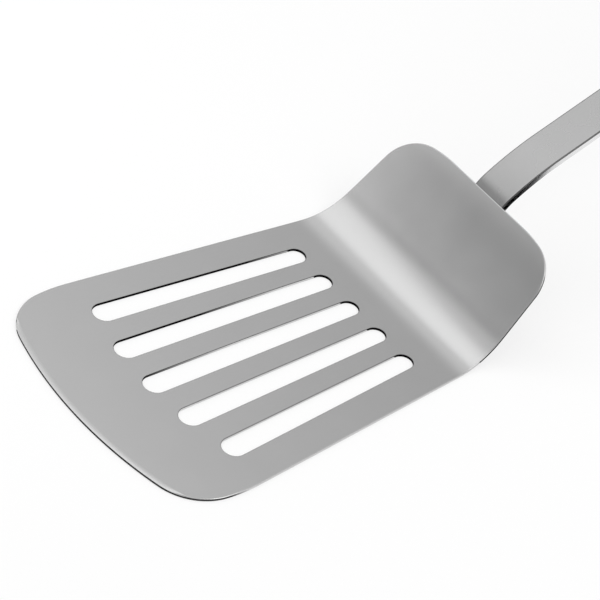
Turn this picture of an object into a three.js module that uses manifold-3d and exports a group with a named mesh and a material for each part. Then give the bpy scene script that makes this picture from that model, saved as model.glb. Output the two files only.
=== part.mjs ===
// Slotted kitchen turner in stainless steel: a stamped blade with a raised neck, a flat bar
// handle laid under the neck, and the spot welds that hold the two together.
// Millimetres, +Z up. The origin is on the underside of the blade, between the slots and the
// bend. The tip points to -X and the handle rises to +X.
import * as THREE from 'three';
import { mergeVertices } from 'three/addons/utils/BufferGeometryUtils.js';
import Module from 'manifold-3d';

const wasm = await Module();
wasm.setup();

// Blade sheet: its front corners curve gently from the sides and then tightly
const SHEET = 0.8;
const TIP_REACH = 98.9;
const FRONT_RADIUS = 122;
const FRONT_CORNER = 15.8;
const CORNER_LEAD_RADIUS = 49;
const CORNER_LEAD = THREE.MathUtils.degToRad(11.7);
const BLADE_HALF_WIDTH = 39.2;
const BLADE_TAPER = 0.1;
const GROUND_WIDTH = 1.6;
const GROUND_EDGE = 0.66;

// Neck raised behind the blade. Its corners curve gently from the rear edge and then tightly
const BEND_START = 4;
const BEND_RADIUS = 20;
const NECK_ANGLE = THREE.MathUtils.degToRad(46.5);
const NECK_LENGTH = 25.8;
const NECK_TAPER = 0.08;
const NECK_CORNER = 12;
const NECK_LEAD_RADIUS = 45;
const NECK_LEAD = THREE.MathUtils.degToRad(10);

// Slots, counted from the middle one outwards. They narrow a little to the rear
const SLOT_REACH = 2;
const SLOT_REAR = -7.1;
const SLOT_WIDTH_FRONT = 6.9;
const SLOT_WIDTH_REAR = 5.65;
const SLOT_LENGTH = 66;
const SLOT_PITCH_REAR = 11.74;
const SLOT_PITCH_FRONT = 14.24;
const SLOT_FRONT_DROP = 1.1;

// Handle bar
const BAR = 2.4;
const BAR_HALF_WIDTH = 5.8;
const BAR_GAP = 0.3;
const TONGUE_LENGTH = 19;
const TONGUE_CORNER = 3;
const BAR_LEAD = 1.6;
const BAR_BEND_RADIUS = 30.3;
const BAR_RISE = THREE.MathUtils.degToRad(21.6);
const BAR_STRAIGHT = 42;
const BAR_BOW_RADIUS = 520;
const BAR_END_RISE = THREE.MathUtils.degToRad(11);
const BAR_TAIL = 46;
const GRIP_HALF_WIDTH = 9.5;
const GRIP_SPREAD = 88;

// Hanging slot in the grip
const HANG_WIDTH = 7;
const HANG_LENGTH = 14;
const HANG_INSET = 10.5;

// Spot welds between neck and tongue
const WELD_COUNT = 3;
const WELD_RADIUS = 2.4;
const WELD_PITCH = 5.4;
const WELD_INSET = 4.6;

// Fineness of the curves
const ARC_STEPS = 18;
const SMALL_ARC_STEPS = 12;
const RING_STEPS = 240;
const SAME_POINT = 1e-5;

// How far a cutting body reaches past what it cuts
const BEYOND = 4;
const ROOM = 60;
const HEADROOM = 180;

const QUARTER = Math.PI / 2;

// Joining and cutting

function solid(geometry) {
  const bare = geometry.index ? geometry.toNonIndexed() : geometry.clone();
  bare.deleteAttribute('normal');
  bare.deleteAttribute('uv');
  const welded = mergeVertices(bare, SAME_POINT);
  return new wasm.Manifold(new wasm.Mesh({
    numProp: 3,
    vertProperties: new Float32Array(welded.attributes.position.array),
    triVerts: new Uint32Array(welded.index.array),
  }));
}

function meshOf(name, body, material) {
  const cut = body.getMesh();
  const geometry = new THREE.BufferGeometry();
  geometry.setAttribute('position', new THREE.BufferAttribute(new Float32Array(cut.vertProperties), 3));
  geometry.setIndex(new THREE.BufferAttribute(new Uint32Array(cut.triVerts), 1));
  geometry.computeVertexNormals();
  const mesh = new THREE.Mesh(geometry, material);
  mesh.name = name;
  return mesh;
}

function drawnOut(shape, depth, steps) {
  return new THREE.ExtrudeGeometry(shape, { depth, bevelEnabled: false, curveSegments: steps });
}

// A side profile drawn in X and Z, drawn out across the whole width
function across(shape, steps) {
  const geometry = drawnOut(shape, 2 * ROOM, steps);
  geometry.translate(0, 0, -ROOM);
  geometry.rotateX(QUARTER);
  return geometry;
}

// An outline drawn in X and Y, drawn out upwards between two heights
function upright(shape, low, high, steps) {
  const geometry = drawnOut(shape, high - low, steps);
  geometry.translate(0, 0, low);
  return geometry;
}

// Tilts a body drawn along X so that it climbs by the angle, and sets it at a point of the side view
function climb(geometry, angle, point) {
  geometry.rotateY(-angle);
  geometry.translate(point.x, 0, point.y);
  return geometry;
}

function along(point, angle, distance) {
  return new THREE.Vector2(point.x + distance * Math.cos(angle), point.y + distance * Math.sin(angle));
}

// Point above a climbing line, square to it
function above(point, angle, distance) {
  return along(point, angle + QUARTER, distance);
}

// Opening with round ends and straight sides that touch both. It may narrow from start to end
function stadium(length, startWidth, endWidth) {
  const lean = Math.asin((startWidth - endWidth) / (2 * length));
  const shape = new THREE.Shape();
  shape.absarc(length, 0, endWidth / 2, lean - QUARTER, QUARTER - lean, false);
  shape.absarc(0, 0, startWidth / 2, QUARTER - lean, 3 * QUARTER + lean, false);
  shape.closePath();
  return shape;
}

// Blade

const bendCentre = new THREE.Vector2(BEND_START, BEND_RADIUS);
const neckFoot = along(bendCentre, NECK_ANGLE - QUARTER, BEND_RADIUS);
const neckRear = along(neckFoot, NECK_ANGLE, NECK_LENGTH);
const bendMiddle = along(bendCentre, NECK_ANGLE / 2 - QUARTER, BEND_RADIUS);
const halfBend = BEND_RADIUS * NECK_ANGLE / 2;
const widthMiddle = SLOT_REAR - SLOT_LENGTH / 2;

function bladeHalf(x) {
  return BLADE_HALF_WIDTH - BLADE_TAPER * (x - widthMiddle);
}

const bendHalf = bladeHalf(BEND_START + halfBend);

function neckHalf(distance) {
  return bendHalf - NECK_TAPER * (halfBend + distance);
}

function sheetProfile() {
  const shape = new THREE.Shape();
  shape.moveTo(-TIP_REACH - BEYOND, 0);
  shape.lineTo(BEND_START, 0);
  shape.absarc(bendCentre.x, bendCentre.y, BEND_RADIUS, -QUARTER, NECK_ANGLE - QUARTER, false);
  shape.lineTo(neckRear.x, neckRear.y);
  const rearTop = above(neckRear, NECK_ANGLE, SHEET);
  shape.lineTo(rearTop.x, rearTop.y);
  shape.absarc(bendCentre.x, bendCentre.y, BEND_RADIUS - SHEET, NECK_ANGLE - QUARTER, -QUARTER, true);
  shape.lineTo(-TIP_REACH - BEYOND, SHEET);
  shape.closePath();
  return shape;
}

// Front corner: a circle inside the front arc, met by a wider one that touches the straight side
function frontCorner() {
  const arcX = FRONT_RADIUS - TIP_REACH;
  const slant = Math.hypot(1, BLADE_TAPER);
  const apart = CORNER_LEAD_RADIUS - FRONT_CORNER;
  const level = bladeHalf(0) - (FRONT_CORNER + apart * (1 - Math.cos(CORNER_LEAD))) * slant;
  const a = slant * slant;
  const b = -2 * (arcX + BLADE_TAPER * level);
  const c = arcX * arcX + level * level - (FRONT_RADIUS - FRONT_CORNER) ** 2;
  const x = (-b - Math.sqrt(b * b - 4 * a * c)) / (2 * a);
  const y = level - BLADE_TAPER * x;
  const sideOut = Math.atan2(1, BLADE_TAPER);
  const leadOut = sideOut + CORNER_LEAD;
  const leadX = x - apart * Math.cos(leadOut);
  const leadY = y - apart * Math.sin(leadOut);
  return { arcX, x, y, sideOut, leadOut, leadX, leadY };
}

function bladePlan() {
  const corner = frontCorner();
  const arcEnd = Math.atan2(corner.y, corner.x - corner.arcX);
  const shape = new THREE.Shape();
  shape.absarc(corner.arcX, 0, FRONT_RADIUS, arcEnd, 2 * Math.PI - arcEnd, false);
  shape.absarc(corner.x, -corner.y, FRONT_CORNER, -arcEnd, -corner.leadOut, false);
  shape.absarc(corner.leadX, -corner.leadY, CORNER_LEAD_RADIUS, -corner.leadOut, -corner.sideOut, false);
  shape.lineTo(bendMiddle.x, -bendHalf);
  shape.lineTo(neckFoot.x, -neckHalf(0));
  shape.lineTo(neckRear.x, -neckHalf(NECK_LENGTH));
  shape.lineTo(neckRear.x, neckHalf(NECK_LENGTH));
  shape.lineTo(neckFoot.x, neckHalf(0));
  shape.lineTo(bendMiddle.x, bendHalf);
  shape.absarc(corner.leadX, corner.leadY, CORNER_LEAD_RADIUS, corner.sideOut, corner.leadOut, false);
  shape.absarc(corner.x, corner.y, FRONT_CORNER, corner.leadOut, arcEnd, false);
  shape.closePath();
  return shape;
}

// Waste outside a rounded rear corner of the neck, drawn in the plane of the neck
function neckWaste(side) {
  const slant = Math.hypot(1, NECK_TAPER);
  const apart = NECK_LEAD_RADIUS - NECK_CORNER;
  const middle = NECK_LENGTH - NECK_LEAD_RADIUS + apart * Math.cos(NECK_LEAD);
  const height = neckHalf(middle) - NECK_CORNER * slant;
  const leadHeight = height - apart * Math.sin(NECK_LEAD);
  const sideOut = Math.atan2(1, NECK_TAPER);
  const shape = new THREE.Shape();
  shape.moveTo(NECK_LENGTH + BEYOND, leadHeight);
  shape.lineTo(NECK_LENGTH + BEYOND, height + NECK_CORNER + BEYOND);
  shape.lineTo(middle, height + NECK_CORNER + BEYOND);
  shape.absarc(middle, height, NECK_CORNER, sideOut, NECK_LEAD, true);
  shape.absarc(NECK_LENGTH - NECK_LEAD_RADIUS, leadHeight, NECK_LEAD_RADIUS, NECK_LEAD, 0, true);
  shape.closePath();
  const geometry = upright(shape, -BEYOND, BEYOND, SMALL_ARC_STEPS);
  if (side < 0) geometry.rotateX(Math.PI);
  return climb(geometry, NECK_ANGLE, neckFoot);
}

function slot(place) {
  const frontX = SLOT_REAR - SLOT_LENGTH + SLOT_FRONT_DROP * place * place;
  const front = new THREE.Vector2(frontX, place * SLOT_PITCH_FRONT);
  const rear = new THREE.Vector2(SLOT_REAR, place * SLOT_PITCH_REAR);
  const run = rear.clone().sub(front);
  const opening = stadium(run.length(), SLOT_WIDTH_FRONT, SLOT_WIDTH_REAR);
  const geometry = upright(opening, -BEYOND, BEYOND, SMALL_ARC_STEPS);
  geometry.rotateZ(run.angle());
  geometry.translate(front.x, front.y, 0);
  return geometry;
}

// Ground front edge: a ring that takes the top of the sheet down towards the front arc
function groundRing() {
  const slope = (SHEET - GROUND_EDGE) / GROUND_WIDTH;
  const outer = FRONT_RADIUS + BEYOND;
  const points = [
    new THREE.Vector2(FRONT_RADIUS - GROUND_WIDTH - BEYOND, SHEET + BEYOND * slope),
    new THREE.Vector2(outer, GROUND_EDGE - BEYOND * slope),
    new THREE.Vector2(outer, SHEET + BEYOND),
    new THREE.Vector2(FRONT_RADIUS - GROUND_WIDTH - BEYOND, SHEET + BEYOND),
  ];
  points.push(points[0].clone());
  const geometry = new THREE.LatheGeometry(points, RING_STEPS);
  geometry.rotateX(QUARTER);
  geometry.translate(FRONT_RADIUS - TIP_REACH, 0, 0);
  const waste = solid(geometry);
  const ahead = new THREE.Shape();
  ahead.moveTo(-TIP_REACH - BEYOND, -ROOM);
  ahead.lineTo(SLOT_REAR - SLOT_LENGTH, -ROOM);
  ahead.lineTo(SLOT_REAR - SLOT_LENGTH, ROOM);
  ahead.lineTo(-TIP_REACH - BEYOND, ROOM);
  ahead.closePath();
  return waste.intersect(solid(upright(ahead, -ROOM, ROOM, 1)));
}

function bladeBody() {
  let body = solid(across(sheetProfile(), ARC_STEPS));
  body = body.intersect(solid(upright(bladePlan(), -BEYOND, ROOM, ARC_STEPS)));
  for (let place = -SLOT_REACH; place <= SLOT_REACH; place += 1) {
    body = body.subtract(solid(slot(place)));
  }
  for (const side of [-1, 1]) {
    body = body.subtract(solid(neckWaste(side)));
  }
  return body.subtract(groundRing());
}

// Handle

const barRoot = above(neckRear, NECK_ANGLE, -BAR_GAP);
const tongueEnd = along(barRoot, NECK_ANGLE, -TONGUE_LENGTH);
const barLead = along(barRoot, NECK_ANGLE, BAR_LEAD);
const barBendCentre = above(barLead, NECK_ANGLE, -BAR_BEND_RADIUS);
const barBendEnd = above(barBendCentre, BAR_RISE, BAR_BEND_RADIUS);
const bowStart = along(barBendEnd, BAR_RISE, BAR_STRAIGHT);
const bowCentre = above(bowStart, BAR_RISE, -BAR_BOW_RADIUS);
const bowEnd = above(bowCentre, BAR_END_RISE, BAR_BOW_RADIUS);
const barEnd = along(bowEnd, BAR_END_RISE, BAR_TAIL);

// Adds an arc of a side profile, between two climbs of the line that it belongs to
function bendLine(shape, centre, radius, from, to) {
  shape.absarc(centre.x, centre.y, radius, from + QUARTER, to + QUARTER, from > to);
}

function barProfile() {
  const shape = new THREE.Shape();
  const start = above(tongueEnd, NECK_ANGLE, -BAR);
  const end = above(barEnd, BAR_END_RISE, -BAR);
  shape.moveTo(start.x, start.y);
  bendLine(shape, barBendCentre, BAR_BEND_RADIUS - BAR, NECK_ANGLE, BAR_RISE);
  bendLine(shape, bowCentre, BAR_BOW_RADIUS - BAR, BAR_RISE, BAR_END_RISE);
  shape.lineTo(end.x, end.y);
  shape.lineTo(barEnd.x, barEnd.y);
  bendLine(shape, bowCentre, BAR_BOW_RADIUS, BAR_END_RISE, BAR_RISE);
  bendLine(shape, barBendCentre, BAR_BEND_RADIUS, BAR_RISE, NECK_ANGLE);
  shape.lineTo(tongueEnd.x, tongueEnd.y);
  shape.closePath();
  return shape;
}

// Plan of the bar: even width at the neck, spreading into a grip with a round end
function barPlan() {
  const gripX = barEnd.x - GRIP_HALF_WIDTH;
  const spreadX = gripX - GRIP_SPREAD;
  const pull = GRIP_SPREAD / 2;
  const front = tongueEnd.x - BEYOND;
  const shape = new THREE.Shape();
  shape.moveTo(front, -BAR_HALF_WIDTH);
  shape.lineTo(spreadX, -BAR_HALF_WIDTH);
  shape.bezierCurveTo(
    spreadX + pull, -BAR_HALF_WIDTH, gripX - pull, -GRIP_HALF_WIDTH, gripX, -GRIP_HALF_WIDTH);
  shape.absarc(gripX, 0, GRIP_HALF_WIDTH, -QUARTER, QUARTER, false);
  shape.bezierCurveTo(
    gripX - pull, GRIP_HALF_WIDTH, spreadX + pull, BAR_HALF_WIDTH, spreadX, BAR_HALF_WIDTH);
  shape.lineTo(front, BAR_HALF_WIDTH);
  shape.closePath();
  return shape;
}

// Waste outside a rounded corner of the tongue, drawn in the plane of the neck
function tongueWaste(side) {
  const edge = BAR_HALF_WIDTH - TONGUE_CORNER;
  const shape = new THREE.Shape();
  shape.moveTo(-BEYOND, edge);
  shape.absarc(TONGUE_CORNER, edge, TONGUE_CORNER, Math.PI, QUARTER, true);
  shape.lineTo(TONGUE_CORNER, BAR_HALF_WIDTH + BEYOND);
  shape.lineTo(-BEYOND, BAR_HALF_WIDTH + BEYOND);
  shape.closePath();
  const geometry = upright(shape, -BAR - BEYOND, BAR + BEYOND, SMALL_ARC_STEPS);
  if (side < 0) geometry.rotateX(Math.PI);
  return climb(geometry, NECK_ANGLE, tongueEnd);
}

function handleBody() {
  let body = solid(across(barProfile(), ARC_STEPS));
  body = body.intersect(solid(upright(barPlan(), -ROOM, HEADROOM, ARC_STEPS)));
  for (const side of [-1, 1]) {
    body = body.subtract(solid(tongueWaste(side)));
  }
  const opening = stadium(HANG_LENGTH, HANG_WIDTH, HANG_WIDTH);
  const hang = upright(opening, -BAR - BEYOND, BEYOND, SMALL_ARC_STEPS);
  const hangStart = along(barEnd, BAR_END_RISE, -HANG_INSET - HANG_LENGTH);
  return body.subtract(solid(climb(hang, BAR_END_RISE, hangStart)));
}

// Spot weld: a flat disc that fills the seam between neck and tongue
function weldBody(index) {
  const geometry = new THREE.CylinderGeometry(WELD_RADIUS, WELD_RADIUS, BAR_GAP, 2 * ARC_STEPS);
  geometry.rotateX(QUARTER);
  geometry.translate(-WELD_INSET - index * WELD_PITCH, 0, BAR_GAP / 2);
  return solid(climb(geometry, NECK_ANGLE, barRoot));
}

// Finishes
const satinSteel = new THREE.MeshStandardMaterial({ color: 0xb0b0b0, roughness: 0.38, metalness: 1 });
const brushedSteel = new THREE.MeshStandardMaterial({ color: 0xb8b8b7, roughness: 0.34, metalness: 1 });
const weldSteel = new THREE.MeshStandardMaterial({ color: 0x8f8d8a, roughness: 0.55, metalness: 1 });

// Assembly
const turner = new THREE.Group();
turner.name = 'slotted_turner';
turner.add(meshOf('blade', bladeBody(), satinSteel));
turner.add(meshOf('handle', handleBody(), brushedSteel));
for (let index = 0; index < WELD_COUNT; index += 1) {
  turner.add(meshOf(`spot_weld_${index + 1}`, weldBody(index), weldSteel.clone()));
}

export default turner;
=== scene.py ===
# Looks of a slotted kitchen turner: sheet and bar meshes with worked edges, steel finishes,
# a plain studio and the camera of the photograph. Sizes are in millimetres until they are laid.
import math

import bmesh
import bpy
from mathutils import Matrix, Vector
from mathutils.geometry import tessellate_polygon


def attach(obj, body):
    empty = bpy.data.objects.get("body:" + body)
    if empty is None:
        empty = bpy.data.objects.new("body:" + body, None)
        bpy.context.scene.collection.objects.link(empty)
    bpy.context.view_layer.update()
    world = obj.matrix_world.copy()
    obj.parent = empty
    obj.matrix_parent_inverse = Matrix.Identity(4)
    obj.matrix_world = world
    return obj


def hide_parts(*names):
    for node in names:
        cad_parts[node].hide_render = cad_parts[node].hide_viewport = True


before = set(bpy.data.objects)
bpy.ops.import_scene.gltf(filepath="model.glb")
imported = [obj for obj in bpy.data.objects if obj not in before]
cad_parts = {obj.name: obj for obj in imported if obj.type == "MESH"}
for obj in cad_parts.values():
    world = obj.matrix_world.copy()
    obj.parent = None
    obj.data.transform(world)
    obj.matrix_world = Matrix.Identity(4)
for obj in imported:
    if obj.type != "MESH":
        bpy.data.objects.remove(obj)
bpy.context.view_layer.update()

MM = 0.001
QUARTER = math.pi / 2
TURN = 2 * math.pi

# Blade sheet: its front corners curve gently from the sides and then tightly
SHEET = 0.8
TIP_REACH = 98.9
FRONT_RADIUS = 122.0
FRONT_CORNER = 15.8
CORNER_LEAD_RADIUS = 49.0
CORNER_LEAD = math.radians(11.7)
BLADE_HALF_WIDTH = 39.2
BLADE_TAPER = 0.1
GROUND_WIDTH = 1.6
GROUND_EDGE = 0.72
GROUND_FROM = 0.5
EDGE_TOP = 0.24
EDGE_SLOT = 0.12
EDGE_UNDER = 0.10
EDGE_STEPS = 5

# Neck: its bend eases in and out, its corners curve gently from the rear edge, which is slightly flared
BEND_START = 4.0
BEND_RADIUS = 20.0
BEND_EASE = 6.0
NECK_ANGLE = math.radians(46.5)
NECK_LENGTH = 25.8
NECK_TAPER = 0.08
NECK_CORNER = 12.0
NECK_LEAD_RADIUS = 45.0
NECK_LEAD = math.radians(10.0)
NECK_FLARE = math.radians(3.0)
NECK_FLARE_LENGTH = 11.0

# Slots, counted from the middle one outwards. They narrow a little to the rear
SLOT_REACH = 2
SLOT_REAR = -7.1
SLOT_WIDTH_FRONT = 6.9
SLOT_WIDTH_REAR = 5.65
SLOT_LENGTH = 66.0
SLOT_PITCH_REAR = 11.74
SLOT_PITCH_FRONT = 14.24
SLOT_FRONT_DROP = 1.1

# Handle bar: its bend is tight at the neck and then wide
BAR = 2.4
BAR_HALF_WIDTH = 5.8
BAR_GAP = 0.3
TONGUE_LENGTH = 19.0
TONGUE_CORNER = 3.0
BAR_LEAD = 1.2
BAR_TIGHT_RADIUS = 14.0
BAR_MID_RISE = math.radians(35.3)
BAR_WIDE_RADIUS = 73.8
BAR_RISE = math.radians(21.6)
BAR_STRAIGHT = 35.18
BAR_BOW_RADIUS = 520.0
BAR_END_RISE = math.radians(11.0)
BAR_TAIL = 46.0
GRIP_HALF_WIDTH = 9.5
GRIP_SPREAD = 88.0
BAR_EDGE = 0.35

# Hanging slot and spot welds
HANG_WIDTH = 7.0
HANG_LENGTH = 14.0
HANG_INSET = 10.5
WELD_COUNT = 3
WELD_RADIUS = 2.4
WELD_PITCH = 5.4
WELD_INSET = 4.6
WELD_WAIST = 0.045
DENT_RADIUS = 2.1
DENT_DEPTH = 0.14

# Fineness of the meshes
FRONT_STEPS = 72
CORNER_STEPS = 36
CAP_STEPS = 24
SIDE_STEPS = 24
RING_STEPS = 40
DENT_RINGS = 6
WELD_LEVELS = 6
NECK_CUTS = 72
BAR_CUTS = 24
PATH_STEP = 0.1
SAME_POINT = 1e-4
SHARP_ANGLE = math.radians(8.0)

# Bands of a plate: its faces, the rounded rim, the cut wall, the ground front edge and the burred edge,
# whose near-black tone is painted shade: dark lines where the sheet meets the floor and round the slots.
# The ground edge has the finish of the faces.
FACE, RIM, WALL, GROUND, BURR_PAINTED_SHADE = 0, 1, 2, 3, 4
FINISH_OF_BAND = (0, 1, 2, 0, 3)

# Finishes: base tone, roughness, stretch of the grain, its scale and its depth, and for the welds how far
# tone and roughness vary
BLADE_SATIN = (0.467, 0.237, (1.0, 9.0, 9.0), 260.0, 0.03)
BLADE_RIM = (0.50, 0.22, (6.0, 6.0, 1.0), 500.0, 0.05)
BLADE_CUT = (0.62, 0.12, (6.0, 6.0, 1.0), 500.0, 0.05)
# Burr tone 0.05 is painted shade: near-black lines under the edges and round the slots
BLADE_BURR_PAINTED_SHADE = (0.05, 0.35, (6.0, 6.0, 1.0), 500.0, 0.05)
HANDLE_BRUSHED = (0.33, 0.27, (1.0, 12.0, 12.0), 240.0, 0.15)
# Handle rim tone 0.10 is painted shade: a dark line along the top edges of the bar
HANDLE_RIM_PAINTED_SHADE = (0.10, 0.20, (1.0, 8.0, 8.0), 300.0, 0.08)
HANDLE_SIDE = (0.80, 0.10, (1.0, 8.0, 8.0), 300.0, 0.04)
WELD_TINT = (0.34, 0.52, (4.0, 4.0, 4.0), 400.0, 0.4, 0.1, 0.12)
TONE_VARIES = 0.014
ROUGHNESS_VARIES = 0.03
GRAIN_DETAIL = 5.0
CLOUD_SCALE, CLOUD_DETAIL = 70.0, 4.0
SPECK_SCALE, SPECK_DETAIL = 1500.0, 3.0
CLOUD_IN_TONE = 0.45
SPECK_IN_BUMP = 0.3
BUMP_DEPTH = 0.00004
NOISE_RANGE = (0.1, 0.9)

# Camera of the photograph
CAM_AZIMUTH = math.radians(-47.917)
CAM_ELEVATION = math.radians(40.305)
CAM_ROLL = math.radians(14.603)
CAM_DISTANCE = 1.0936
CAM_FOCAL_PIXELS = 4057.8
CAM_TARGET = Vector((-0.016651, 0.009279, 0.0))
CAM_SENSOR = 36.0
CAM_NEAR = 0.01
FRAME_PIXELS = 600.0

# Studio: place and half size of each softbox in millimetres, its roll and its radiance
KEY_BOX = ((-120.0, 293.0, 266.0), 0.50, (99.0, 352.0), 0.80)
SIDE_BOX = ((-327.0, 256.0, 181.0), 0.175, (116.0, 80.0), 1.26)
FILL_BOX = ((150.0, -450.0, 600.0), 0.0, (250.0, 250.0), 1.6)
DOME_STOPS = (
    (0.0, 0.717), (0.2, 0.644), (0.4, 0.129), (0.55, 0.203), (0.7, 1.084), (0.85, 0.775), (1.0, 0.968))
DOME_PEAK = 1.25
DOME_FRONT = 0.80
DOME_LEAN_X = 0.249
DOME_LEAN_Y = 0.025
DOME_RIGHT_X = (0.47, 0.62)
DOME_RIGHT_LEVELS = (1.0, 0.475)
DOME_RIGHT_FROM = (0.1, 0.4)
DOME_BEHIND_FROM = (0.0, 0.3)
FLOOR_WHITE = 0.96
FLOOR_GLOW_SHARE = 0.65
FLOOR_HALF = 6.0
FLOOR_DROP = 0.00002
CARD_RISE = 0.00002

# Cards on the floor, which paint dark and pale reflections into the metal: outline, then the two points
# between which the card turns from one grey to another
BLACK = ((0.0, 0.0), (1.0, 0.0), (0.0, 0.0))
# Black card where the shadow of the neck and handle lies on the floor: painted shade seen in the handle's
# side
NECK_CARD = (
    ((13.0, -33.5), (30.0, -30.0), (47.5, -13.4), (97.5, -39.6),
     (97.5, -50.0), (135.0, -55.0), (135.0, -75.0), (12.0, -75.0)), *BLACK)
CORNER_CARD = (((118.0, -40.0), (118.0, -10.0), (240.0, -10.0), (240.0, -62.0)), *BLACK)
FAR_CARD = (
    ((-85.0, -19.0), (-7.4, 16.7), (-7.4, 45.0), (-85.0, 48.0)),
    (-36.5, 20.0), (-31.5, 9.1), (0.0, 1.0))
REAR_CARD = (((-7.4, -30.0), (0.0, -30.0), (0.0, 30.0), (-7.4, 30.0)), *BLACK)
FRONT_CARD = (
    ((-115.0, -60.0), (-72.0, -60.0), (-72.0, -42.0),
     (-85.0, -36.0), (-85.0, 34.0), (-115.0, 34.0)),
    (-80.0, 0.0), (-74.0, 0.0), (0.06, 1.0))


# Outlines: points with the direction that leaves the metal

def arc(cx, cy, radius, start, end, count, out=1):
    """Points on a circle. out is -1 where the metal lies outside the circle."""
    points = []
    for i in range(count + 1):
        a = start + (end - start) * i / count
        c, s = math.cos(a), math.sin(a)
        points.append((cx + radius * c, cy + radius * s, out * c, out * s))
    return points


def straight(p, q, count):
    """Points between two others, with the direction to the right of the walk."""
    length = math.hypot(q[0] - p[0], q[1] - p[1])
    nx, ny = (q[1] - p[1]) / length, (p[0] - q[0]) / length
    shares = [i / count for i in range(1, count)]
    return [(p[0] + (q[0] - p[0]) * t, p[1] + (q[1] - p[1]) * t, nx, ny) for t in shares]


def closed(points):
    """Drops points that fall on the one before."""
    kept = []
    for i, p in enumerate(points):
        before = points[i - 1]
        if math.hypot(p[0] - before[0], p[1] - before[1]) > SAME_POINT:
            kept.append(p)
    return kept


def mirrored(points):
    """The other half of an outline that is even about the X axis."""
    return [(x, -y, nx, -ny) for x, y, nx, ny in reversed(points)]


def round_ended_slot(front, rear, front_width, rear_width):
    heading = math.atan2(rear[1] - front[1], rear[0] - front[0])
    turn = QUARTER - math.asin((front_width - rear_width) / (2 * math.dist(front, rear)))
    rear_cap = arc(*rear, rear_width / 2, heading + turn, heading - turn, CAP_STEPS, -1)
    front_cap = arc(*front, front_width / 2, heading - turn, heading + turn - TURN, CAP_STEPS, -1)
    points = rear_cap + straight(rear_cap[-1], front_cap[0], SIDE_STEPS)
    points += front_cap + straight(front_cap[-1], rear_cap[0], SIDE_STEPS)
    return closed(points)


# Blade, drawn flat: s runs along the sheet from the tip to the rear of the neck

BEND_LENGTH = BEND_RADIUS * NECK_ANGLE
BEND_MIDDLE = BEND_START + BEND_LENGTH / 2
NECK_REAR = BEND_START + BEND_LENGTH + NECK_LENGTH
FRONT_CENTRE = FRONT_RADIUS - TIP_REACH


def blade_half(s):
    return BLADE_HALF_WIDTH - BLADE_TAPER * (s - SLOT_REAR + SLOT_LENGTH / 2)


def neck_half(s):
    return blade_half(BEND_MIDDLE) - NECK_TAPER * (s - BEND_MIDDLE)


def front_corner():
    """Middle of the circle that touches the front arc from inside and meets the lead from the side."""
    slant = math.hypot(1, BLADE_TAPER)
    lead_depth = (CORNER_LEAD_RADIUS - FRONT_CORNER) * (1 - math.cos(CORNER_LEAD))
    level = blade_half(0) - (FRONT_CORNER + lead_depth) * slant
    a = slant * slant
    b = -2 * (FRONT_CENTRE + BLADE_TAPER * level)
    c = FRONT_CENTRE ** 2 + level ** 2 - (FRONT_RADIUS - FRONT_CORNER) ** 2
    x = (-b - math.sqrt(b * b - 4 * a * c)) / (2 * a)
    return x, level - BLADE_TAPER * x


def blade_outline():
    cx, cy = front_corner()
    arc_end = math.atan2(cy, cx - FRONT_CENTRE)
    side_out = math.atan2(1, BLADE_TAPER)
    neck_out = math.atan2(1, NECK_TAPER)
    apart = NECK_LEAD_RADIUS - NECK_CORNER
    rx = NECK_REAR - NECK_LEAD_RADIUS + apart * math.cos(NECK_LEAD)
    ry = neck_half(rx) - NECK_CORNER * math.hypot(1, NECK_TAPER)
    waist = (BEND_MIDDLE, -blade_half(BEND_MIDDLE))
    lead_from = side_out + CORNER_LEAD
    lx = cx - (CORNER_LEAD_RADIUS - FRONT_CORNER) * math.cos(lead_from)
    ly = cy - (CORNER_LEAD_RADIUS - FRONT_CORNER) * math.sin(lead_from)
    front = arc(cx, -cy, FRONT_CORNER, TURN - arc_end, TURN - lead_from, CORNER_STEPS)
    front += arc(lx, -ly, CORNER_LEAD_RADIUS, TURN - lead_from, TURN - side_out, CAP_STEPS)
    rear = arc(rx, -ry, NECK_CORNER, -neck_out, -NECK_LEAD, CORNER_STEPS)
    lead_y = ry - apart * math.sin(NECK_LEAD)
    rear += arc(NECK_REAR - NECK_LEAD_RADIUS, -lead_y, NECK_LEAD_RADIUS, -NECK_LEAD, 0, CAP_STEPS)
    near = front + straight(front[-1], waist, SIDE_STEPS) + straight(waist, rear[0], SIDE_STEPS) + rear
    far = mirrored(near)
    tip = arc(FRONT_CENTRE, 0, FRONT_RADIUS, arc_end, TURN - arc_end, FRONT_STEPS)
    return closed(tip + near + straight(near[-1], far[0], SIDE_STEPS) + far)


def blade_slots():
    slots = []
    for place in range(-SLOT_REACH, SLOT_REACH + 1):
        front_s = SLOT_REAR - SLOT_LENGTH + SLOT_FRONT_DROP * place * place
        front = (front_s, place * SLOT_PITCH_FRONT)
        rear = (SLOT_REAR, place * SLOT_PITCH_REAR)
        slots.append(round_ended_slot(front, rear, SLOT_WIDTH_FRONT, SLOT_WIDTH_REAR))
    return slots


# Edge sections: inset, height and band of each row, from the under face to the top face

def round_edge(thick, under, under_band, top, top_band):
    angles = [QUARTER * i / EDGE_STEPS for i in range(EDGE_STEPS + 1)]
    low = [(under * (1 - math.sin(a)), under * (1 - math.cos(a)), under_band) for a in angles]
    high = [(top * (1 - math.cos(a)), thick - top * (1 - math.sin(a)), top_band) for a in angles]
    low[-1] = (*low[-1][:2], WALL)
    return low + high


def ground_share(s, y):
    """How far the ground front edge reaches at a point of the outline: it runs out at the corners."""
    if s > SLOT_REAR - SLOT_LENGTH:
        return 0.0
    depth = math.hypot(s - FRONT_CENTRE, y) - FRONT_RADIUS + GROUND_WIDTH
    return min(1.0, max(0.0, depth / GROUND_WIDTH))


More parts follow.
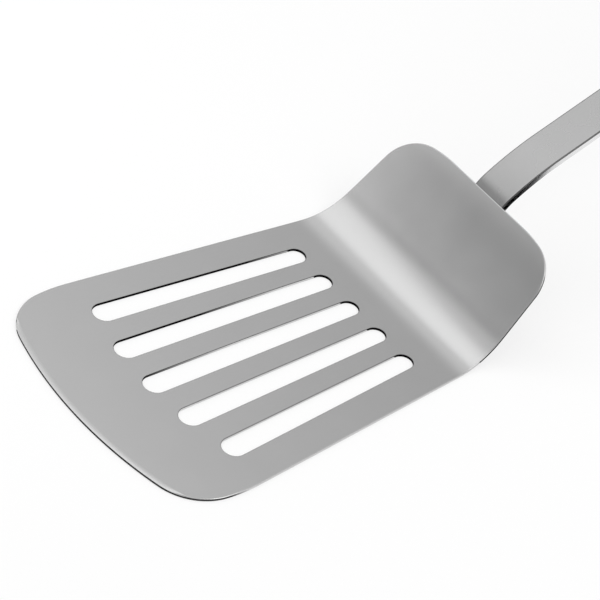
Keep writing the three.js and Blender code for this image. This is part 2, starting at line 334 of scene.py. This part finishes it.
def blade_section(s, y):
    rows = round_edge(SHEET, EDGE_UNDER, BURR_PAINTED_SHADE, EDGE_TOP, RIM)
    share = ground_share(s, y)
    if share == 0.0:
        return rows
    section = rows[:EDGE_STEPS + 1]
    for i, (inset, height, band) in enumerate(rows[EDGE_STEPS + 1:]):
        t = i / EDGE_STEPS
        drop = (SHEET - GROUND_EDGE) * (1 - t) ** 2
        inset += (GROUND_WIDTH * t - inset) * share
        height += (SHEET - drop - height) * share
        section.append((inset, height, GROUND if share > GROUND_FROM else band))
    return section


# Slot edges take the burr band above and below the wall, painted near-black as shade
def slot_section(s, y):
    return round_edge(SHEET, EDGE_UNDER, BURR_PAINTED_SHADE, EDGE_SLOT, BURR_PAINTED_SHADE)


# The bar's top rounding takes the rim band, whose dark tone is painted shade
def bar_section(s, y):
    return round_edge(BAR, BAR_EDGE, WALL, BAR_EDGE, RIM)


# Plates: a flat blank with worked edges, cut across where it bends, then laid along its path

def ring_faces(bm, low, high, layer, bands):
    for i in range(len(low)):
        j = (i + 1) % len(low)
        face = bm.faces.new((low[i], low[j], high[j], high[i]))
        face[layer] = bands[i]


def edge_rings(bm, loop, section_at, layer):
    """Rows of points round an outline, joined by faces. Returns the lowest and the highest row."""
    sections = [section_at(p[0], p[1]) for p in loop]
    rings = []
    for level in range(len(sections[0])):
        ring = []
        for p, section in zip(loop, sections):
            inset, height, _ = section[level]
            ring.append(bm.verts.new((p[0] - p[2] * inset, p[1] - p[3] * inset, height)))
        rings.append(ring)
    for level in range(len(rings) - 1):
        bands = [section[level][2] for section in sections]
        ring_faces(bm, rings[level], rings[level + 1], layer, bands)
    return rings[0], rings[-1]


def fill(bm, loops, up):
    """A flat face with holes, between rings of points."""
    points = [v for loop in loops for v in loop]
    outlines = [[Vector((v.co.x, v.co.y, 0.0)) for v in loop] for loop in loops]
    for corners in tessellate_polygon(outlines):
        a, b, c = (points[i] for i in corners)
        area = (b.co.x - a.co.x) * (c.co.y - a.co.y) - (b.co.y - a.co.y) * (c.co.x - a.co.x)
        if abs(area) < SAME_POINT ** 2:
            continue
        bm.faces.new((a, b, c) if (area > 0) == up else (a, c, b))


def weld_dent(bm, s, y):
    """A shallow round dent that a weld electrode left in the under face. Returns its rim."""
    rings = []
    for level in range(DENT_RINGS):
        share = 1 - level / DENT_RINGS
        depth = DENT_DEPTH * (1 + math.cos(math.pi * share)) / 2
        circle = arc(s, y, DENT_RADIUS * share, 0, -TURN, RING_STEPS)[:-1]
        rings.append([bm.verts.new((p[0], p[1], depth)) for p in circle])
    for wide, tight in zip(rings, rings[1:]):
        for i in range(RING_STEPS):
            bm.faces.new((wide[i - 1], wide[i], tight[i], tight[i - 1]))
    middle = bm.verts.new((s, y, DENT_DEPTH))
    for i in range(RING_STEPS):
        bm.faces.new((rings[-1][i - 1], rings[-1][i], middle))
    return rings[0]


def plate(outline, section_at, holes, hole_section, dents, cuts):
    bm = bmesh.new()
    layer = bm.faces.layers.int.new("band")
    edges = [edge_rings(bm, outline, section_at, layer)]
    edges += [edge_rings(bm, hole, hole_section, layer) for hole in holes]
    fill(bm, [low for low, _ in edges] + [weld_dent(bm, *place) for place in dents], False)
    fill(bm, [high for _, high in edges], True)
    for s in cuts:
        everything = bm.verts[:] + bm.edges[:] + bm.faces[:]
        bmesh.ops.bisect_plane(bm, geom=everything, dist=SAME_POINT, plane_co=(s, 0, 0), plane_no=(1, 0, 0))
    return bm


def lay(bm, place):
    for v in bm.verts:
        v.co = place(v.co.x, v.co.y, v.co.z) * MM


def piece(bm, name, materials):
    bmesh.ops.remove_doubles(bm, verts=bm.verts[:], dist=SAME_POINT * MM)
    bmesh.ops.dissolve_degenerate(bm, edges=bm.edges[:], dist=SAME_POINT * MM)
    bmesh.ops.recalc_face_normals(bm, faces=bm.faces[:])
    layer = bm.faces.layers.int.get("band") or bm.faces.layers.int.new("band")
    for face in bm.faces:
        face.smooth = True
        face.material_index = FINISH_OF_BAND[face[layer]]
    for edge in bm.edges:
        same_band = len({face[layer] for face in edge.link_faces}) == 1
        edge.smooth = same_band and edge.calc_face_angle(math.pi) < SHARP_ANGLE
    bm.faces.layers.int.remove(layer)
    mesh = bpy.data.meshes.new(name)
    bm.to_mesh(mesh)
    bm.free()
    for material in materials:
        mesh.materials.append(material)
    obj = bpy.data.objects.new(name, mesh)
    bpy.context.scene.collection.objects.link(obj)
    return obj


# Path of the sheet: flat, through the eased bend and up the neck

# An easing draws the bend in by its length squared over 24 radii, and a tighter radius makes up for it
EASED_RADIUS = BEND_RADIUS - BEND_EASE ** 2 / (24 * BEND_RADIUS)
BEND_FROM = BEND_START - BEND_EASE / 2
BEND_SPAN = EASED_RADIUS * NECK_ANGLE + BEND_EASE


def neck_flare(s):
    """Small loss of climb that pressing leaves towards the rear edge of the neck."""
    share = max(s - NECK_REAR + NECK_FLARE_LENGTH, 0.0) / NECK_FLARE_LENGTH
    return NECK_FLARE * share ** 2


def eased_climb(s):
    into = min(max(s - BEND_FROM, 0.0), BEND_SPAN)
    left = BEND_SPAN - into
    if into < BEND_EASE:
        return into ** 2 / (2 * EASED_RADIUS * BEND_EASE)
    if left < BEND_EASE:
        return NECK_ANGLE - left ** 2 / (2 * EASED_RADIUS * BEND_EASE)
    return (into - BEND_EASE / 2) / EASED_RADIUS


def blade_climb(s):
    return eased_climb(s) - neck_flare(s)


def bend_path():
    """Points of the under face, one path step apart, through the bend and up the neck."""
    points = [(BEND_FROM, 0.0)]
    for i in range(math.ceil((NECK_REAR - BEND_FROM) / PATH_STEP)):
        a = blade_climb(BEND_FROM + (i + 0.5) * PATH_STEP)
        x, z = points[-1]
        points.append((x + PATH_STEP * math.cos(a), z + PATH_STEP * math.sin(a)))
    return points


BEND_POINTS = bend_path()


def on_blade(s, y, h):
    into = (s - BEND_FROM) / PATH_STEP
    i = min(max(math.floor(into), 0), len(BEND_POINTS) - 2)
    (x0, z0), (x1, z1) = BEND_POINTS[i], BEND_POINTS[i + 1]
    a = blade_climb(s)
    x = x0 + (x1 - x0) * (into - i)
    z = z0 + (z1 - z0) * (into - i)
    return Vector((x - h * math.sin(a), y, z + h * math.cos(a)))


# Path of the bar: tongue under the neck, bend, straight, bow and tail

def neck_underside_rear():
    """Where the top line of the bar passes the rear edge of the neck."""
    c, s = math.cos(NECK_ANGLE), math.sin(NECK_ANGLE)
    x = BEND_START + BEND_RADIUS * s + NECK_LENGTH * c + BAR_GAP * s
    z = BEND_RADIUS * (1 - c) + NECK_LENGTH * s - BAR_GAP * c
    return x, z


BAR_LEGS = (
    (TONGUE_LENGTH + BAR_LEAD, None, NECK_ANGLE),
    (BAR_TIGHT_RADIUS * (NECK_ANGLE - BAR_MID_RISE), BAR_TIGHT_RADIUS, NECK_ANGLE),
    (BAR_WIDE_RADIUS * (BAR_MID_RISE - BAR_RISE), BAR_WIDE_RADIUS, BAR_MID_RISE),
    (BAR_STRAIGHT, None, BAR_RISE),
    (BAR_BOW_RADIUS * (BAR_RISE - BAR_END_RISE), BAR_BOW_RADIUS, BAR_RISE),
    (BAR_TAIL, None, BAR_END_RISE),
)
BAR_LENGTH = sum(leg[0] for leg in BAR_LEGS)
BAR_ROOT = neck_underside_rear()


def bar_line(s):
    """Point and climb of the bar's top line at a distance from the end of the tongue."""
    x = BAR_ROOT[0] - TONGUE_LENGTH * math.cos(NECK_ANGLE)
    z = BAR_ROOT[1] - TONGUE_LENGTH * math.sin(NECK_ANGLE)
    for index, (length, radius, climb) in enumerate(BAR_LEGS):
        last = index == len(BAR_LEGS) - 1
        run = s if last else min(s, length)
        end = climb
        if radius:
            end = climb - run / radius
            x += radius * (math.sin(climb) - math.sin(end))
            z += radius * (math.cos(end) - math.cos(climb))
        else:
            x += run * math.cos(climb)
            z += run * math.sin(climb)
        s -= run
        if s <= 0:
            break
    return x, z, end


def on_bar(s, y, h):
    x, z, climb = bar_line(s)
    return Vector((x - (h - BAR) * math.sin(climb), y, z + (h - BAR) * math.cos(climb)))


def cubic(a, b, c, d, u):
    """Value of a curve with four control values at a share of its way."""
    v = 1 - u
    return a * v ** 3 + 3 * b * v * v * u + 3 * c * v * u * u + d * u ** 3


def cubic_slope(a, b, c, d, u):
    v = 1 - u
    return 3 * ((b - a) * v * v + 2 * (c - b) * v * u + (d - c) * u * u)


def bar_outline():
    """Even width at the neck, spreading on a smooth curve into a grip with a round end."""
    grip = BAR_LENGTH - GRIP_HALF_WIDTH
    spread = grip - GRIP_SPREAD
    pull = GRIP_SPREAD / 2
    runs = (spread, spread + pull, grip - pull, grip)
    halves = (BAR_HALF_WIDTH, BAR_HALF_WIDTH, GRIP_HALF_WIDTH, GRIP_HALF_WIDTH)
    corner = BAR_HALF_WIDTH - TONGUE_CORNER
    near = arc(TONGUE_CORNER, -corner, TONGUE_CORNER, math.pi, 3 * QUARTER, CAP_STEPS)
    near += straight(near[-1], (spread, -BAR_HALF_WIDTH), SIDE_STEPS)
    for i in range(CORNER_STEPS + 1):
        u = i / CORNER_STEPS
        wider = cubic_slope(*halves, u)
        ahead = cubic_slope(*runs, u)
        length = math.hypot(wider, ahead)
        near.append((cubic(*runs, u), -cubic(*halves, u), -wider / length, -ahead / length))
    end = arc(grip, 0, GRIP_HALF_WIDTH, -QUARTER, QUARTER, 2 * CAP_STEPS)
    return closed(near + end + mirrored(near))


# Finishes

def node(tree, kind, x, y, **values):
    made = tree.nodes.new(kind)
    made.location = (x, y)
    for key, value in values.items():
        setattr(made, key, value)
    return made


def shader_tree(name):
    material = bpy.data.materials.new(name)
    material.use_nodes = True
    material.node_tree.nodes.clear()
    return material, material.node_tree


def noise(tree, vector, scale, detail, x, y):
    made = node(tree, "ShaderNodeTexNoise", x, y)
    made.inputs["Scale"].default_value = scale
    made.inputs["Detail"].default_value = detail
    tree.links.new(vector, made.inputs["Vector"])
    return made.outputs["Fac"]


def slope(tree, value, between, levels, x, y):
    """Runs from one level to another while a value runs between two others."""
    made = node(tree, "ShaderNodeMapRange", x, y)
    made.inputs["From Min"].default_value = between[0]
    made.inputs["From Max"].default_value = between[1]
    made.inputs["To Min"].default_value = levels[0]
    made.inputs["To Max"].default_value = levels[1]
    tree.links.new(value, made.inputs["Value"])
    return made.outputs["Result"]


def spread_about(tree, value, middle, spread, x, y):
    """Maps the range of a noise to a value and a little either side."""
    return slope(tree, value, NOISE_RANGE, (middle - spread, middle + spread), x, y)


def blend(tree, share, a, b, x, y):
    made = node(tree, "ShaderNodeMix", x, y, data_type="FLOAT")
    made.inputs["Factor"].default_value = share
    tree.links.new(a, made.inputs["A"])
    tree.links.new(b, made.inputs["B"])
    return made.outputs["Result"]


def steel(name, base, rough, grain, grain_scale, grain_bump,
          base_spread=TONE_VARIES, rough_spread=ROUGHNESS_VARIES):
    """Stainless steel with a fine drawn grain, a cloudy polish and faint handling marks.

    grain stretches the noise: small along the brushing, large across it."""
    material, tree = shader_tree(name)
    link = tree.links.new
    coord = node(tree, "ShaderNodeTexCoord", -1400, 0)
    place = coord.outputs["Object"]
    stretch = node(tree, "ShaderNodeMapping", -1200, 160)
    stretch.inputs["Scale"].default_value = grain
    link(place, stretch.inputs["Vector"])
    lines = noise(tree, stretch.outputs["Vector"], grain_scale, GRAIN_DETAIL, -1000, 160)
    cloud = noise(tree, place, CLOUD_SCALE, CLOUD_DETAIL, -1000, -120)
    speck = noise(tree, place, SPECK_SCALE, SPECK_DETAIL, -1000, -400)
    mottle = blend(tree, CLOUD_IN_TONE, lines, cloud, -760, 120)
    tone = spread_about(tree, mottle, base, base_spread, -520, 160)
    grey = node(tree, "ShaderNodeCombineColor", 60, 160)
    for channel in ("Red", "Green", "Blue"):
        link(tone, grey.inputs[channel])
    bump = node(tree, "ShaderNodeBump", 60, -300)
    bump.inputs["Strength"].default_value = grain_bump
    bump.inputs["Distance"].default_value = BUMP_DEPTH
    link(blend(tree, SPECK_IN_BUMP, lines, speck, -520, -300), bump.inputs["Height"])
    shader = node(tree, "ShaderNodeBsdfPrincipled", 320, 0)
    shader.inputs["Metallic"].default_value = 1.0
    link(grey.outputs["Color"], shader.inputs["Base Color"])
    link(spread_about(tree, cloud, rough, rough_spread, -520, -120), shader.inputs["Roughness"])
    link(bump.outputs["Normal"], shader.inputs["Normal"])
    out = node(tree, "ShaderNodeOutputMaterial", 600, 0)
    link(shader.outputs["BSDF"], out.inputs["Surface"])
    return material


blade_face = steel("blade_satin", *BLADE_SATIN)
blade_rim = steel("blade_rim", *BLADE_RIM)
blade_cut = steel("blade_cut", *BLADE_CUT)
# The burr finish is painted shade: dark edge lines, not the steel's own tone
blade_burr_painted_shade = steel("blade_burr_painted_shade", *BLADE_BURR_PAINTED_SHADE)
bar_face = steel("handle_brushed", *HANDLE_BRUSHED)
# The handle rim finish paints shade as a dark line round the bar's top edges
bar_rim_painted_shade = steel("handle_rim_painted_shade", *HANDLE_RIM_PAINTED_SHADE)
bar_side = steel("handle_side", *HANDLE_SIDE)
weld_face = steel("weld_tint", *WELD_TINT)


# Pieces

def build_blade():
    cuts = [BEND_FROM + (NECK_REAR - BEND_FROM) * i / NECK_CUTS for i in range(NECK_CUTS)]
    bm = plate(blade_outline(), blade_section, blade_slots(), slot_section, [], cuts)
    lay(bm, on_blade)
    return piece(bm, "blade_sheet", [blade_face, blade_rim, blade_cut, blade_burr_painted_shade])


def weld_place(index):
    return TONGUE_LENGTH - WELD_INSET - index * WELD_PITCH


def build_handle():
    hang = BAR_LENGTH - HANG_INSET
    hole = round_ended_slot((hang - HANG_LENGTH, 0), (hang, 0), HANG_WIDTH, HANG_WIDTH)
    cuts = []
    start = 0.0
    for length, radius, _ in BAR_LEGS:
        if radius:
            cuts += [start + length * i / BAR_CUTS for i in range(BAR_CUTS + 1)]
        start += length
    dents = [(weld_place(index), 0) for index in range(WELD_COUNT)]
    bm = plate(bar_outline(), bar_section, [hole], bar_section, dents, cuts)
    lay(bm, on_bar)
    return piece(bm, "handle_bar", [bar_face, bar_rim_painted_shade, bar_side])


def build_weld(index):
    """Nugget that fills the seam, drawn in at its waist where the two pieces fused."""
    bm = bmesh.new()
    rings = []
    for level in range(WELD_LEVELS + 1):
        height = level / WELD_LEVELS
        radius = WELD_RADIUS * (1 - WELD_WAIST * math.sin(math.pi * height))
        circle = arc(0, 0, radius, 0, TURN, RING_STEPS)[:-1]
        rings.append([bm.verts.new((p[0], p[1], height * BAR_GAP)) for p in circle])
    for low, high in zip(rings, rings[1:]):
        for i in range(RING_STEPS):
            bm.faces.new((low[i - 1], low[i], high[i], high[i - 1]))
    bm.faces.new(list(reversed(rings[0])))
    bm.faces.new(rings[-1])
    middle = weld_place(index)
    lay(bm, lambda s, y, h: on_bar(middle + s, y, BAR + h))
    return piece(bm, "weld_nugget_%d" % (index + 1), [weld_face])


blade = build_blade()
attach(blade, "root")
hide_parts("blade")
handle = build_handle()
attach(handle, "root")
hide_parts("handle")
for index in range(WELD_COUNT):
    weld = build_weld(index)
    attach(weld, "root")
    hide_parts("spot_weld_%d" % (index + 1))


# Floor, and cards that paint reflections

def sheet_on_floor(name, corners, material):
    mesh = bpy.data.meshes.new(name)
    mesh.from_pydata(corners, [], [tuple(range(len(corners)))])
    mesh.materials.append(material)
    obj = bpy.data.objects.new(name, mesh)
    bpy.context.scene.collection.objects.link(obj)
    return obj


def build_floor():
    """White floor: part of its white shows as it is, the rest is lit and carries the shadow."""
    material, tree = shader_tree("studio_floor")
    link = tree.links.new
    path = node(tree, "ShaderNodeLightPath", -600, 200)
    seen = node(tree, "ShaderNodeMath", -400, 200, operation="MAXIMUM")
    link(path.outputs["Is Camera Ray"], seen.inputs[0])
    link(path.outputs["Is Glossy Ray"], seen.inputs[1])
    shown = node(tree, "ShaderNodeMath", -200, 200, operation="MAXIMUM")
    link(seen.outputs["Value"], shown.inputs[0])
    link(path.outputs["Is Transmission Ray"], shown.inputs[1])
    share = node(tree, "ShaderNodeMath", 0, 200, operation="MULTIPLY")
    share.inputs[1].default_value = FLOOR_GLOW_SHARE
    link(shown.outputs["Value"], share.inputs[0])
    matt = node(tree, "ShaderNodeBsdfDiffuse", 0, 0)
    matt.inputs["Color"].default_value = (FLOOR_WHITE, FLOOR_WHITE, FLOOR_WHITE, 1.0)
    glow = node(tree, "ShaderNodeEmission", 0, -140)
    glow.inputs["Strength"].default_value = 1.0
    mixed = node(tree, "ShaderNodeMixShader", 220, 0)
    link(share.outputs["Value"], mixed.inputs["Fac"])
    link(matt.outputs["BSDF"], mixed.inputs[1])
    link(glow.outputs["Emission"], mixed.inputs[2])
    out = node(tree, "ShaderNodeOutputMaterial", 440, 0)
    link(mixed.outputs["Shader"], out.inputs["Surface"])
    signs = ((-1, -1), (1, -1), (1, 1), (-1, 1))
    corners = [(sx * FLOOR_HALF, sy * FLOOR_HALF, -FLOOR_DROP) for sx, sy in signs]
    sheet_on_floor("studio_floor", corners, material)


def build_reflection_card(name, outline, start, end, levels):
    """Glowing card that paints dark and pale reflections onto the metal, the dark ones as painted shade
    along edges. Only reflections show it.
    """
    material, tree = shader_tree(name)
    link = tree.links.new
    run = Vector((end[0] - start[0], end[1] - start[1], 0.0)) * MM
    coord = node(tree, "ShaderNodeTexCoord", -600, 0)
    along = node(tree, "ShaderNodeVectorMath", -400, 0, operation="DOT_PRODUCT")
    along.inputs[1].default_value = run.normalized()
    link(coord.outputs["Object"], along.inputs[0])
    first = run.normalized().dot(Vector((start[0], start[1], 0.0))) * MM
    grey = slope(tree, along.outputs["Value"], (first, first + run.length), levels, -200, 0)
    glow = node(tree, "ShaderNodeEmission", 0, 0)
    link(grey, glow.inputs["Strength"])
    out = node(tree, "ShaderNodeOutputMaterial", 220, 0)
    link(glow.outputs["Emission"], out.inputs["Surface"])
    card = sheet_on_floor(name, [(x * MM, y * MM, CARD_RISE) for x, y in outline], material)
    # It glows by its own grey and is hidden from the camera, from diffuse light and from shadows: a painted
    # reflection
    card.visible_camera = False
    card.visible_diffuse = False
    card.visible_shadow = False


build_floor()
build_reflection_card("neck_card", *NECK_CARD)
build_reflection_card("corner_card", *CORNER_CARD)
build_reflection_card("far_card", *FAR_CARD)
build_reflection_card("rear_card", *REAR_CARD)
build_reflection_card("front_card", *FRONT_CARD)


# Light: a dome with a quieter belt behind, two softboxes behind the blade and a fill in front

def build_dome():
    world = bpy.data.worlds.new("studio_dome")
    bpy.context.scene.world = world
    world.use_nodes = True
    tree = world.node_tree
    tree.nodes.clear()
    link = tree.links.new
    coord = node(tree, "ShaderNodeTexCoord", -800, 0)
    parts = node(tree, "ShaderNodeSeparateXYZ", -600, 0)
    link(coord.outputs["Generated"], parts.inputs["Vector"])
    ramp = node(tree, "ShaderNodeValToRGB", -200, 120)
    link(parts.outputs["Z"], ramp.inputs["Fac"])
    elements = ramp.color_ramp.elements
    elements.remove(elements[-1])
    for index, (height, level) in enumerate(DOME_STOPS):
        element = elements.new(height) if index else elements[0]
        element.position = height
        element.color = (level / DOME_PEAK, level / DOME_PEAK, level / DOME_PEAK, 1.0)
    right = slope(tree, parts.outputs["X"], DOME_RIGHT_X, DOME_RIGHT_LEVELS, -400, 420)
    over = slope(tree, parts.outputs["X"], DOME_RIGHT_FROM, (0.0, 1.0), -400, 700)
    behind = slope(tree, parts.outputs["Y"], DOME_BEHIND_FROM, (0.0, 1.0), -400, 980)
    scaled = node(tree, "ShaderNodeMath", -200, 420, operation="DIVIDE")
    scaled.inputs[1].default_value = DOME_PEAK
    link(right, scaled.inputs[0])
    rear = node(tree, "ShaderNodeMix", 0, 300, data_type="FLOAT")
    link(over, rear.inputs["Factor"])
    link(ramp.outputs["Color"], rear.inputs["A"])
    link(scaled.outputs["Value"], rear.inputs["B"])
    shade = node(tree, "ShaderNodeMix", 200, 300, data_type="FLOAT")
    link(behind, shade.inputs["Factor"])
    shade.inputs["A"].default_value = DOME_FRONT / DOME_PEAK
    link(rear.outputs["Result"], shade.inputs["B"])
    lean = node(tree, "ShaderNodeMath", -400, -160, operation="MULTIPLY_ADD")
    lean.inputs[1].default_value = DOME_LEAN_X * DOME_PEAK
    lean.inputs[2].default_value = DOME_PEAK
    link(parts.outputs["X"], lean.inputs[0])
    level = node(tree, "ShaderNodeMath", -200, -160, operation="MULTIPLY_ADD")
    level.inputs[1].default_value = DOME_LEAN_Y * DOME_PEAK
    link(parts.outputs["Y"], level.inputs[0])
    link(lean.outputs["Value"], level.inputs[2])
    back = node(tree, "ShaderNodeBackground", 160, 0)
    total = node(tree, "ShaderNodeMath", 0, -160, operation="MULTIPLY")
    link(shade.outputs["Result"], total.inputs[0])
    link(level.outputs["Value"], total.inputs[1])
    back.inputs["Color"].default_value = (1.0, 1.0, 1.0, 1.0)
    link(total.outputs["Value"], back.inputs["Strength"])
    out = node(tree, "ShaderNodeOutputWorld", 360, 0)
    link(back.outputs["Background"], out.inputs["Surface"])


def build_softbox(name, place, roll, half, radiance):
    """Rectangular lamp that faces the origin. A lamp's power is pi times area times radiance."""
    middle = Vector(place) * MM
    facing = -middle.normalized()
    side = facing.cross(Vector((0, 0, 1))).normalized()
    top = side.cross(facing)
    c, s = math.cos(roll), math.sin(roll)
    data = bpy.data.lights.new(name, "AREA")
    data.shape = "RECTANGLE"
    data.size = 2 * half[0] * MM
    data.size_y = 2 * half[1] * MM
    data.energy = math.pi * data.size * data.size_y * radiance
    lamp = bpy.data.objects.new(name, data)
    turn = Matrix((side * c + top * s, top * c - side * s, -facing)).transposed().to_4x4()
    lamp.matrix_world = Matrix.Translation(middle) @ turn
    lamp.visible_camera = False
    bpy.context.scene.collection.objects.link(lamp)


build_dome()
build_softbox("key_softbox", *KEY_BOX)
build_softbox("side_softbox", *SIDE_BOX)
build_softbox("fill_softbox", *FILL_BOX)


# Camera

def build_camera():
    level = math.cos(CAM_ELEVATION)
    back = Vector((math.sin(CAM_AZIMUTH) * level, -math.cos(CAM_AZIMUTH) * level, math.sin(CAM_ELEVATION)))
    side = Vector((0, 0, 1)).cross(back).normalized()
    top = back.cross(side)
    c, s = math.cos(CAM_ROLL), math.sin(CAM_ROLL)
    data = bpy.data.cameras.new("photo_view")
    data.sensor_width = CAM_SENSOR
    data.lens = CAM_FOCAL_PIXELS * CAM_SENSOR / FRAME_PIXELS
    data.clip_start = CAM_NEAR
    camera = bpy.data.objects.new("photo_view", data)
    turn = Matrix((side * c + top * s, top * c - side * s, back)).transposed().to_4x4()
    camera.matrix_world = Matrix.Translation(CAM_TARGET + back * CAM_DISTANCE) @ turn
    bpy.context.scene.collection.objects.link(camera)
    bpy.context.scene.camera = camera


build_camera()
bpy.context.scene.view_settings.view_transform = "Standard"
